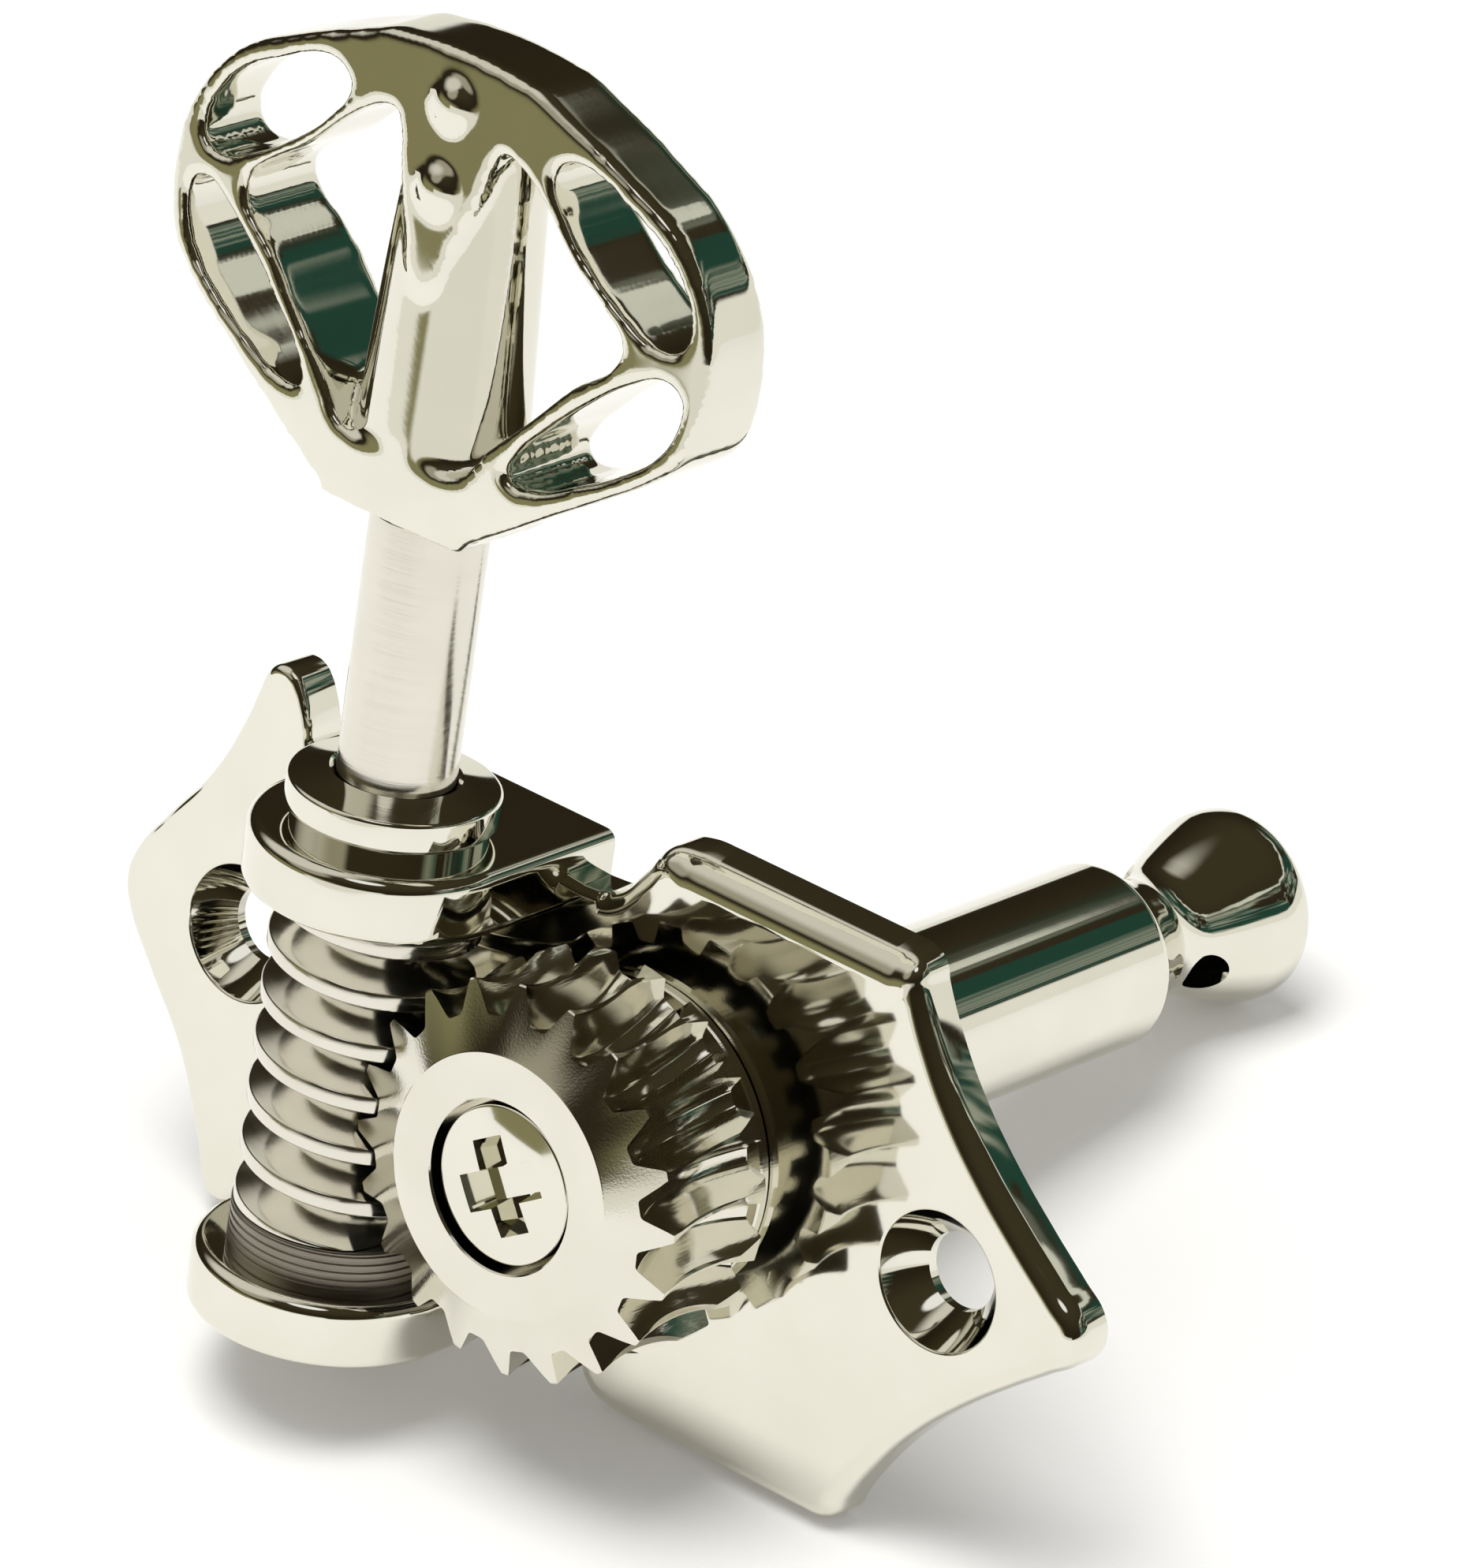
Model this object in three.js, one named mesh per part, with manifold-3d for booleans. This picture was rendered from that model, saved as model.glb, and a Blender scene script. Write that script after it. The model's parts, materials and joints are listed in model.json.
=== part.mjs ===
// A guitar tuning machine: a worm with a pierced button turns a worm wheel that sits on the string post.
// The origin is the post's axis where it leaves the plate's seat. +X runs along the post away from the
// plate, +Z runs up the worm towards the button, and +Y points from the post to the worm.
// All sizes are in millimetres.
import * as THREE from 'three';
import { mergeVertices } from 'three/addons/utils/BufferGeometryUtils.js';
import { ParametricGeometry } from 'three/addons/geometries/ParametricGeometry.js';
import Module from 'manifold-3d';

const wasm = await Module();
wasm.setup();

// Worm and wheel: one left-handed thread and twenty teeth
const wormPitch = 1.8;
const toothCount = 20;
const wormPitchRadius = 2.55;
const toothAddendum = 0.8;
const tipClearance = 0.15;
const threadCrestWidth = 0.56;
const flankAngle = 14.5 * Math.PI / 180;
const meshGap = 0.06;
const wheelFaceWidth = 4.41;
const throatSetback = 2.66;
const bossRadius = 4.39;
const bossRise = 0.775;
const hubRadius = 4.7;
const hubLength = 1.05;
const meshTurn = 10.1 * Math.PI / 180;

// Running and fitting gaps, and how far a cut runs past what it cuts
const runningGap = 0.05;
const fitGap = 0.03;
const cutOverrun = 1;

// Plate
const plateThickness = 1.6;
const plateEdge = 0.38;
const plateHalfHeight = 9.93;
const plateWaistHalfHeight = 7.1;
const nearReach = 17.8;
const farReach = 22.4;
const screwHoleNear = 12.26;
const screwHoleFar = 17.16;
const screwHoleRadius = 1.3;
const countersinkRadius = 2.285;

// Ears that carry the worm
const earInner = 6.3;
const earThickness = 2.24;
const earMargin = 1.12;
const earEdge = 0.28;

// Bushes in the ears
const bushWall = 0.75;
const collarMargin = 1.5;
const collarNeckInset = 0.25;
const collarNeck = 0.5;
const collarHeight = 1.05;
const collarCone = 0.3;
const collarChamfer = 0.14;
const lowerFlangeRadius = 3.4;
const lowerFlangeHeight = 1.45;
const lowerFlangeGroove = 0.12;

// Shaft above the worm
const shaftRadius = 1.92;
const shaftChamfer = 0.15;
const tenonRadius = 1.35;
const tenonFlat = 1.0;
const tenonLength = 6.2;
const buttonStandoff = 9.21;

// String post
const postRadius = 3.175;
const postLength = 29.1;
const headLength = 7.5;
const postShoulder = 2.4;
const neckRadius = 1.98;
const headRadius = 3.3;
const headRimWidth = 0.75;
const headFlare = 3.45;
const headEdge = 0.2;
const journalRadius = 2.55;
const postTenonRadius = 2.0;
const postTenonFlat = 1.5;
const stringHoleRadius = 0.8;
const stringHoleBelowRim = 2.95;
const stringHoleTurn = 23 * Math.PI / 180;

// Wheel screw and washer
const screwHeadRadius = 2.5;
const screwHeadHeight = 1.35;
const screwHeadEdge = 0.2;
const screwHeadSink = 0.2;
const screwShankRadius = 1.2;
const screwShankLength = 5.2;
const counterboreRadius = 2.836;
const crossSpan = 3.3;
const crossWidth = 0.8;
const crossDepth = 0.9;
const crossTurn = 31.5 * Math.PI / 180;
const washerRadius = 5.4;
const washerThickness = 0.4;

// Button
const buttonHalfWidth = 11.0;
const buttonHeight = 15.45;
const buttonRim = 3.0;
const buttonCrown = 4.3;
const buttonEdge = 0.26;
const buttonEdgeDepth = 0.45;
const spineRadius = 2.2;
const spineTopRadius = 1.35;
const studRadius = 0.72;
const studRise = 0.3;

// Steps round the turned pieces
const fineSteps = 32;
const plainSteps = 24;

// Places that follow from the sizes
const wheelPitchRadius = toothCount * wormPitch / (2 * Math.PI);
const centreDistance = wheelPitchRadius + wormPitchRadius;
const wormOuterRadius = wormPitchRadius + toothAddendum;
const wormRootRadius = wormPitchRadius - toothAddendum - tipClearance;
const wheelTipRadius = wheelPitchRadius + toothAddendum;
const wheelBack = plateThickness + washerThickness + 2 * runningGap + hubLength;
const wheelRim = wheelBack + wheelFaceWidth;
const wheelFace = wheelRim + bossRise;
const wormDepth = wheelBack + throatSetback;
const screwTop = wheelFace - screwHeadSink;
const screwSeat = screwTop - screwHeadHeight;
const postShoulderFace = runningGap;
const postTenonEnd = screwSeat - runningGap;
const earRadius = wormOuterRadius + earMargin;
const earOuter = earInner + earThickness;
const collarRadius = shaftRadius + collarMargin;
const bushOuter = shaftRadius + runningGap + bushWall;
const wormTop = earInner - runningGap;
const lowerFlangeTop = lowerFlangeHeight - earInner;
const wormBottom = lowerFlangeTop + runningGap;
const buttonBottom = earOuter + collarNeck + collarHeight + buttonStandoff;
const buttonTop = buttonBottom + buttonHeight;

// Materials
function metal(hex, roughness) {
  return new THREE.MeshStandardMaterial({ color: hex, roughness, metalness: 1 });
}
const nickel = metal(0xd9d6cc, 0.08);
const satinNickel = metal(0xcbc8c0, 0.32);
const turnedSteel = metal(0xbfbab0, 0.3);
const darkBronze = metal(0x6d665c, 0.45);
const screwSteel = metal(0xd2cbb9, 0.18);

// Solids
function solid(geometry) {
  const bare = geometry.clone();
  bare.deleteAttribute('normal');
  bare.deleteAttribute('uv');
  const merged = mergeVertices(bare);
  const triangles = [];
  for (let i = 0; i < merged.index.count; i += 3) {
    const corners = [merged.index.getX(i), merged.index.getX(i + 1), merged.index.getX(i + 2)];
    if (new Set(corners).size === 3) triangles.push(...corners);
  }
  return new wasm.Manifold(new wasm.Mesh({
    numProp: 3,
    vertProperties: merged.attributes.position.array,
    triVerts: Uint32Array.from(triangles),
  }));
}

// A turned solid from pairs of radius and height, listed upwards
function turned(profile, steps) {
  return new THREE.LatheGeometry(profile.map(([r, h]) => new THREE.Vector2(r, h)), steps);
}

function turnedOnPost(profile, steps) {
  return solid(turned(profile, steps).rotateZ(-Math.PI / 2));
}

function turnedOnWorm(profile, steps) {
  return solid(turned(profile, steps).rotateX(Math.PI / 2).translate(-wormDepth, centreDistance, 0));
}

// Smooth points through the given ones, as pairs
function smooth(points, stepsEach, closed) {
  const corners = points.map(([a, b]) => new THREE.Vector3(a, b, 0));
  const curve = new THREE.CatmullRomCurve3(corners, closed, 'centripetal');
  const count = stepsEach * (closed ? points.length : points.length - 1);
  const along = curve.getPoints(count);
  if (closed) along.pop();
  return along.map((p) => new THREE.Vector2(p.x, p.y));
}

const part = new THREE.Group();

function addMesh(name, manifold, material) {
  const mesh = manifold.getMesh();
  const geometry = new THREE.BufferGeometry();
  geometry.setAttribute('position', new THREE.BufferAttribute(new Float32Array(mesh.vertProperties), 3));
  geometry.setIndex(new THREE.BufferAttribute(new Uint32Array(mesh.triVerts), 1));
  geometry.computeVertexNormals();
  const piece = new THREE.Mesh(geometry, material);
  piece.name = name;
  part.add(piece);
}

// Base plate: the outline's upper half, run by run from the far horn to the near horn
const farOuterShares = [[1, 0], [0.99, 0.105], [0.943, 0.26], [0.876, 0.475], [0.82, 0.7], [0.79, 0.875]];
const farInnerShares = [[0.775, 0.945], [0.755, 0.965], [0.733, 0.953], [0.72, 0.925], [0.706, 0.87],
  [0.694, 0.8]];
const waistFarShares = [0.672, 0.6];
const waistNearShares = [0.138, 0.098];
const nearTopShares = [[-0.035, 0.985], [-0.5, 1], [-0.545, 0.965]];
const nearOuterShares = [[-0.573, 0.87], [-0.61, 0.73], [-0.67, 0.59], [-0.757, 0.43], [-0.86, 0.275],
  [-0.945, 0.13]];
const upperOutline = [
  ...farOuterShares.map(([y, z]) => [y * farReach, z * plateHalfHeight]),
  ...farInnerShares.map(([y, z]) => [y * farReach, z * plateHalfHeight]),
  ...waistFarShares.map((y) => [y * farReach, plateWaistHalfHeight]),
  ...waistNearShares.map((y) => [y * farReach, plateWaistHalfHeight]),
  ...nearTopShares.map(([y, z]) => [y * nearReach, z * plateHalfHeight]),
  ...nearOuterShares.map(([y, z]) => [y * nearReach, z * plateHalfHeight]),
  [-nearReach, 0],
];
const lowerOutline = upperOutline.slice(1, -1).reverse().map(([y, z]) => [y, -z]);
const plateOutline = [...upperOutline, ...lowerOutline].map(([y, z]) => new THREE.Vector2(y, z));
const plateShape = new THREE.Shape(plateOutline);
const plateBlank = new THREE.ExtrudeGeometry(plateShape, {
  depth: plateThickness,
  bevelThickness: plateEdge,
  bevelSize: plateEdge,
  bevelOffset: -plateEdge,
  bevelSegments: 2,
});
plateBlank.translate(0, 0, plateEdge - plateThickness);
const towardsPost = new THREE.Matrix4().makeBasis(
  new THREE.Vector3(0, 1, 0),
  new THREE.Vector3(0, 0, 1),
  new THREE.Vector3(1, 0, 0),
);
plateBlank.applyMatrix4(towardsPost);

// Each ear is a tongue with a round end about the worm's axis
function ear() {
  const shape = new THREE.Shape();
  shape.moveTo(plateEdge, centreDistance - earRadius);
  shape.lineTo(plateEdge, centreDistance + earRadius);
  shape.lineTo(-wormDepth, centreDistance + earRadius);
  shape.absarc(-wormDepth, centreDistance, earRadius, Math.PI / 2, 3 * Math.PI / 2, false);
  const geometry = new THREE.ExtrudeGeometry(shape, {
    depth: earThickness - 2 * earEdge,
    bevelThickness: earEdge,
    bevelSize: earEdge,
    bevelOffset: -earEdge,
    bevelSegments: 2,
    curveSegments: 14,
  });
  return geometry.translate(0, 0, earInner + earEdge);
}
const upperEar = solid(ear());
const lowerEar = solid(ear().rotateX(Math.PI).translate(0, 2 * centreDistance, 0));
const aroundPlate = new THREE.BoxGeometry(2 * plateThickness, 4 * farReach, 4 * plateHalfHeight);
const behindSeat = solid(aroundPlate.translate(plateThickness, 0, 0));

function countersunkHole(y) {
  const slope = (countersinkRadius - screwHoleRadius) / plateThickness;
  const profile = [
    [0, -plateThickness - cutOverrun],
    [countersinkRadius + slope * cutOverrun, -plateThickness - cutOverrun],
    [screwHoleRadius, 0],
    [screwHoleRadius, cutOverrun],
    [0, cutOverrun],
  ];
  return turnedOnPost(profile, plainSteps).translate([0, y, 0]);
}
const postBore = turnedOnPost([
  [0, -plateThickness - cutOverrun],
  [journalRadius + runningGap, -plateThickness - cutOverrun],
  [journalRadius + runningGap, cutOverrun],
  [0, cutOverrun],
], fineSteps);
const earBore = turnedOnWorm([
  [0, -earOuter - cutOverrun],
  [bushOuter + fitGap, -earOuter - cutOverrun],
  [bushOuter + fitGap, earOuter + cutOverrun],
  [0, earOuter + cutOverrun],
], plainSteps);
const basePlate = solid(plateBlank).add(upperEar).add(lowerEar)
  .subtract(behindSeat)
  .subtract(postBore)
  .subtract(earBore)
  .subtract(countersunkHole(-screwHoleNear))
  .subtract(countersunkHole(screwHoleFar));
addMesh('base_plate', basePlate, nickel);

// Upper bush: a sleeve in the upper ear with a collar above it
const collarBottom = earOuter + collarNeck;
const collarTop = collarBottom + collarHeight;
const shaftBore = shaftRadius + runningGap;
addMesh('upper_bush', turnedOnWorm([
  [shaftBore, earInner + fitGap],
  [bushOuter, earInner + fitGap],
  [bushOuter, earOuter],
  [collarRadius - collarNeckInset, earOuter],
  [collarRadius - collarNeckInset, collarBottom],
  [collarRadius, collarBottom + collarChamfer],
  [collarRadius, collarTop - collarChamfer],
  [collarRadius - collarChamfer, collarTop],
  [shaftBore, collarTop + collarCone],
  [shaftBore, earInner + fitGap],
], fineSteps), nickel);

// Lower bush: a dark sleeve in the lower ear, with the flange that the worm's end runs on
const flangeGrooveHeight = lowerFlangeTop - lowerFlangeHeight / 2;
addMesh('lower_bush', turnedOnWorm([
  [shaftBore, -earOuter],
  [bushOuter, -earOuter],
  [bushOuter, -earInner],
  [lowerFlangeRadius, -earInner],
  [lowerFlangeRadius, flangeGrooveHeight - lowerFlangeGroove],
  [lowerFlangeRadius - lowerFlangeGroove, flangeGrooveHeight],
  [lowerFlangeRadius, flangeGrooveHeight + lowerFlangeGroove],
  [lowerFlangeRadius, lowerFlangeTop],
  [shaftBore, lowerFlangeTop],
  [shaftBore, -earOuter],
], fineSteps), darkBronze);

// Thrust washer between the plate and the wheel's hub
addMesh('wheel_washer', turnedOnPost([
  [journalRadius + runningGap, -plateThickness - runningGap - washerThickness],
  [washerRadius, -plateThickness - runningGap - washerThickness],
  [washerRadius, -plateThickness - runningGap],
  [journalRadius + runningGap, -plateThickness - runningGap],
  [journalRadius + runningGap, -plateThickness - runningGap - washerThickness],
], fineSteps), satinNickel);

// Worm thread: a ridge wound round the core, from half a crest's width at the top to its sunken base.
// The crest facing the wheel stands half a pitch off a tooth at rest, so the tooth lies in the gap.
const threadSteps = 18;
const threadBaseShare = 0.9;
const threadTaperTurns = 0.25;
const crestHalf = threadCrestWidth / 2;
const threadBase = wormRootRadius * threadBaseShare;
const baseHalf = crestHalf + (wormOuterRadius - threadBase) * Math.tan(flankAngle);
const threadTurns = Math.ceil((wormTop - wormBottom) / wormPitch) + 2;
const threadStart = wormTop + wormPitch;
const threadPhase = (threadStart + wormPitch / 2 - wheelPitchRadius * meshTurn) % wormPitch;
const threadSection = [
  [threadBase, baseHalf],
  [wormOuterRadius, crestHalf],
  [wormOuterRadius, -crestHalf],
  [threadBase, -baseHalf],
  [threadBase, baseHalf],
];

function thread(around, along, target) {
  const turn = -Math.PI / 2 + 2 * Math.PI * threadTurns * along;
  const height = threadStart - wormPitch * threadTurns * along - threadPhase;
  const [radius, offset] = threadSection[Math.round(around * 4)];
  const turnsToEnd = threadTurns * Math.min(along, 1 - along);
  const taper = Math.min(1, turnsToEnd / threadTaperTurns);
  const reach = threadBase + (radius - threadBase) * taper;
  target.set(reach * Math.cos(turn), reach * Math.sin(turn), height + offset * taper);
}

const threadSolid = solid(new ParametricGeometry(thread, 4, threadTurns * threadSteps)
  .translate(-wormDepth, centreDistance, 0));
const wormSpan = turnedOnWorm([
  [0, wormBottom],
  [wormOuterRadius + tipClearance, wormBottom],
  [wormOuterRadius + tipClearance, wormTop],
  [0, wormTop],
], plainSteps);
const tenonTop = buttonBottom + tenonLength;
const wormCore = turnedOnWorm([
  [0, -earOuter],
  [shaftRadius - shaftChamfer, -earOuter],
  [shaftRadius, shaftChamfer - earOuter],
  [shaftRadius, wormBottom + shaftChamfer],
  [wormRootRadius, wormBottom + 2 * shaftChamfer],
  [wormRootRadius, wormTop - 2 * shaftChamfer],
  [shaftRadius, wormTop - shaftChamfer],
  [shaftRadius, buttonBottom - runningGap],
  [tenonRadius, buttonBottom - runningGap],
  [tenonRadius, tenonTop - shaftChamfer],
  [tenonRadius - shaftChamfer, tenonTop],
  [0, tenonTop],
], plainSteps);

// What lies beyond two flats on a pin above a height of the worm's axis
function beyondFlats(flat, low) {
  const side = new THREE.BoxGeometry(4 * shaftRadius, 2 * shaftRadius, 2 * tenonLength);
  side.translate(-wormDepth, centreDistance + flat + shaftRadius, low + tenonLength);
  const left = solid(side);
  const right = solid(side.translate(0, -2 * (flat + shaftRadius), 0));
  return left.add(right);
}
const tenonFlats = beyondFlats(tenonFlat, buttonBottom - runningGap);
addMesh('worm', threadSolid.intersect(wormSpan).add(wormCore).subtract(tenonFlats), turnedSteel);

// Worm wheel: the blank's radius at each depth, cut down to what the rolling thread leaves
const bossShares = [0, 0.4, 0.7, 1];
const faceShares = [0.17, 0.34, 0.51, 0.67, 0.83, 1];
const wheelRows = [
  ...bossShares.map((share) => bossRise * share - wheelFace),
  ...faceShares.map((share) => wheelFaceWidth * share - wheelRim),
];

function blankRadius(x) {
  const slope = (wheelTipRadius - bossRadius) / bossRise;
  return Math.min(wheelTipRadius, bossRadius + (x + wheelFace) * slope);
}

function threadRadius(offset) {
  const away = Math.abs(offset) - crestHalf - meshGap;
  if (away <= 0) return wormOuterRadius + meshGap;
  const flank = wormOuterRadius + meshGap - away / Math.tan(flankAngle);
  return Math.max(flank, wormRootRadius);
}

function insideThread(x, radius, angle, roll) {
  const y = radius * Math.cos(angle + roll) - centreDistance;
  const z = radius * Math.sin(angle + roll);
  const dx = x + wormDepth;
  const fromWorm = Math.hypot(dx, y);
  if (fromWorm > wormOuterRadius + meshGap) return false;
  const turn = Math.atan2(y, dx) + Math.PI / 2;
  const shifted = z - wheelPitchRadius * roll + wormPitch * turn / (2 * Math.PI) - wormPitch / 2;
  const offset = shifted - wormPitch * Math.round(shifted / wormPitch);
  return fromWorm < threadRadius(offset);
}

const rollSteps = 80;
const rollReach = 0.75;
const cutSteps = 90;
function cutRadius(x, angle) {
  const blank = blankRadius(x);
  const least = wheelPitchRadius - toothAddendum - tipClearance - meshGap;
  let radius = blank;
  for (let i = -rollSteps; i <= rollSteps; i += 1) {
    const roll = rollReach * i / rollSteps;
    while (radius > least && insideThread(x, radius, angle, roll)) radius -= (blank - least) / cutSteps;
  }
  return radius;
}

// The teeth lean with the thread: going towards the plate, a tooth's angle falls
const columnsPerTooth = 10;
const toothLean = wormPitch / (2 * Math.PI * wormPitchRadius) / wheelPitchRadius;
const toothColumns = toothCount * columnsPerTooth;
const columnAngle = 2 * Math.PI / toothColumns;
const radiusTable = wheelRows.map((x) => Array.from({ length: columnsPerTooth }, (_, column) => {
  const angle = column * columnAngle - toothLean * (x + wormDepth);
  return cutRadius(x, angle);
}));

function wheelSurface(around, along, target) {
  const column = Math.round(around * toothColumns) % toothColumns;
  const row = Math.round(along * (wheelRows.length + 1)) - 1;
  const x = wheelRows[Math.min(Math.max(row, 0), wheelRows.length - 1)];
  const capped = row < 0 || row === wheelRows.length;
  const radius = capped ? 0 : radiusTable[row][column % columnsPerTooth];
  const angle = meshTurn + column * columnAngle - toothLean * (x + wormDepth);
  target.set(x, radius * Math.cos(angle), radius * Math.sin(angle));
}
const toothedBlank = solid(new ParametricGeometry(wheelSurface, toothColumns, wheelRows.length + 1));
const wheelHub = turnedOnPost([
  [0, -wheelBack - cutOverrun],
  [hubRadius, -wheelBack - cutOverrun],
  [hubRadius, hubLength - wheelBack],
  [0, hubLength - wheelBack],
], fineSteps);
const counterbore = turnedOnPost([
  [0, -wheelFace - cutOverrun],
  [counterboreRadius, -wheelFace - cutOverrun],
  [counterboreRadius, -screwSeat],
  [0, -screwSeat],
], fineSteps);

function postTenonShape(radius, flat, front, back) {
  const pin = turnedOnPost([[0, front], [radius, front], [radius, back], [0, back]], plainSteps);
  const keep = new THREE.BoxGeometry(back - front + 2 * cutOverrun, 2 * flat, 4 * radius);
  return pin.intersect(solid(keep.translate((front + back) / 2, 0, 0)));
}
const wheelBore = postTenonShape(
  postTenonRadius + fitGap,
  postTenonFlat + fitGap,
  -screwSeat - cutOverrun,
  -plateThickness,
);
addMesh('worm_wheel', toothedBlank.add(wheelHub).subtract(counterbore).subtract(wheelBore), satinNickel);

// String post: tenon, journal, barrel, waist with the string hole, and a flared head
const shoulderShares = [[1, 0], [0.9, 0.22], [0.55, 0.5], [0.15, 0.78], [0, 1]];
const flareShares = [[0, 0], [0.3, 0.26], [0.69, 0.65], [1, 1]];
const postBarrel = postLength - headLength;
const headRim = postLength - headRimWidth - headEdge;
const neckDepth = postRadius - neckRadius;
const postTurning = turnedOnPost([
  [0, -plateThickness - washerThickness - 2 * runningGap],
  [journalRadius, -plateThickness - washerThickness - 2 * runningGap],
  [journalRadius, postShoulderFace],
  [postRadius, postShoulderFace],
  ...shoulderShares.map(([across, along]) => [
    neckRadius + across * neckDepth,
    postBarrel + along * postShoulder,
  ]),
  ...flareShares.map(([across, along]) => [
    neckRadius + across * (headRadius - neckRadius),
    headRim - (1 - along) * headFlare,
  ]),
  [headRadius, postLength - headEdge],
  [headRadius - headEdge, postLength],
  [0, postLength],
], fineSteps);
const drillLength = 4 * postRadius;
const stringDrill = new THREE.CylinderGeometry(stringHoleRadius, stringHoleRadius, drillLength, plainSteps);
const stringHole = solid(stringDrill.rotateX(stringHoleTurn).translate(headRim - stringHoleBelowRim, 0, 0));
const screwBore = turnedOnPost([
  [0, -postTenonEnd - cutOverrun],
  [screwShankRadius + fitGap, -postTenonEnd - cutOverrun],
  [screwShankRadius + fitGap, screwShankLength - screwSeat + runningGap],
  [0, screwShankLength - screwSeat + runningGap],
], plainSteps);
const postTenon = postTenonShape(postTenonRadius, postTenonFlat, -postTenonEnd, -plateThickness);
addMesh('string_post', postTurning.add(postTenon).subtract(stringHole).subtract(screwBore), nickel);

// Wheel screw with a cross recess
const screwBody = turnedOnPost([
  [0, -screwTop],
  [screwHeadRadius - screwHeadEdge, -screwTop],
  [screwHeadRadius, screwHeadEdge - screwTop],
  [screwHeadRadius, -screwSeat - fitGap],
  [screwShankRadius, -screwSeat - fitGap],
  [screwShankRadius, screwShankLength - screwSeat],
  [0, screwShankLength - screwSeat],
], plainSteps);

function crossArm(turn) {
  const arm = new THREE.BoxGeometry(2 * crossDepth, crossWidth, crossSpan);
  return solid(arm.rotateX(turn - crossTurn).translate(-screwTop, 0, 0));
}
addMesh('wheel_screw', screwBody.subtract(crossArm(0)).subtract(crossArm(Math.PI / 2)), screwSteel);

// Button: half of the outline and the three holes on one side, in shares of its half width and height
const buttonOutlineShares = [[0.18, 0.008], [0.34, 0.045], [0.46, 0.11], [0.6, 0.18], [0.76, 0.25],
  [0.88, 0.32], [0.965, 0.41], [1, 0.53], [0.985, 0.64], [0.91, 0.745], [0.79, 0.82], [0.62, 0.88],
  [0.44, 0.94], [0.22, 0.985]];
const upperHoleShares = [[0.385, 0.83], [0.43, 0.87], [0.53, 0.86], [0.68, 0.81], [0.81, 0.75], [0.895, 0.68],
  [0.905, 0.605], [0.83, 0.58], [0.7, 0.62], [0.56, 0.69], [0.44, 0.77]];
const lowerHoleShares = [[0.4, 0.205], [0.43, 0.27], [0.52, 0.35], [0.64, 0.435], [0.76, 0.505], [0.87, 0.53],
  [0.925, 0.49], [0.91, 0.41], [0.84, 0.34], [0.73, 0.275], [0.6, 0.22], [0.47, 0.18]];
const innerHoleShares = [[0.205, 0.815], [0.25, 0.84], [0.34, 0.775], [0.46, 0.68], [0.6, 0.6], [0.69, 0.55],
  [0.67, 0.51], [0.56, 0.44], [0.43, 0.345], [0.31, 0.225], [0.25, 0.165], [0.21, 0.19], [0.2, 0.4],
  [0.195, 0.62]];

function buttonPlace([across, up]) {
  return [
    across * (buttonHalfWidth - buttonEdge),
    buttonBottom + buttonEdge + up * (buttonHeight - 2 * buttonEdge),
  ];
}

function mirrored([across, up]) {
  return [-across, up];
}
const outlineHalf = buttonOutlineShares.map(buttonPlace);
const outlineOtherHalf = outlineHalf.slice().reverse().map(mirrored);
const buttonOutline = [buttonPlace([0, 0]), ...outlineHalf, buttonPlace([0, 1]), ...outlineOtherHalf];
const buttonShape = new THREE.Shape(smooth(buttonOutline, 2, true));
for (const shares of [upperHoleShares, lowerHoleShares, innerHoleShares]) {
  const hole = shares.map(buttonPlace);
  buttonShape.holes.push(new THREE.Path(smooth(hole, 1, true)));
  buttonShape.holes.push(new THREE.Path(smooth(hole.map(mirrored), 1, true)));
}
const buttonBlank = new THREE.ExtrudeGeometry(buttonShape, {
  depth: buttonRim - 2 * buttonEdgeDepth,
  bevelThickness: buttonEdgeDepth,
  bevelSize: buttonEdge,
  bevelSegments: 2,
}).translate(0, 0, buttonEdgeDepth - buttonRim / 2);

// The button is thickest in the middle and thins to its rim
const buttonMiddle = (buttonBottom + buttonTop) / 2;
const blankPoints = buttonBlank.attributes.position;
for (let i = 0; i < blankPoints.count; i += 1) {
  const across = blankPoints.getX(i) / buttonHalfWidth;
  const up = 2 * (blankPoints.getY(i) - buttonMiddle) / buttonHeight;
  const crown = Math.max(0, 1 - across * across - up * up);
  blankPoints.setZ(i, blankPoints.getZ(i) * (1 + (buttonCrown / buttonRim - 1) * crown));
}
buttonBlank.applyMatrix4(towardsPost).translate(-wormDepth, centreDistance, 0);

// The shaft runs on as a column up the button's middle and thins out under its top edge
const spineShares = [[1, 0.06], [1, 0.45], [0.35, 0.8], [0, 0.94]];
const spineTopShare = 0.95;
const spine = turnedOnWorm([
  [0, buttonBottom],
  [shaftRadius, buttonBottom],
  ...spineShares.map(([across, up]) => [
    spineTopRadius + across * (spineRadius - spineTopRadius),
    buttonBottom + up * buttonHeight,
  ]),
  [0, buttonBottom + spineTopShare * buttonHeight],
], plainSteps);

// Two small round studs stand on the crest, one above the other, on both faces
const studShares = [0.722, 0.9];
const studSphere = (studRadius * studRadius + studRise * studRise) / (2 * studRise);

function buttonHalfDepth(z) {
  const up = 2 * (z - buttonMiddle) / buttonHeight;
  return (buttonRim + (buttonCrown - buttonRim) * Math.max(0, 1 - up * up)) / 2;
}

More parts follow.
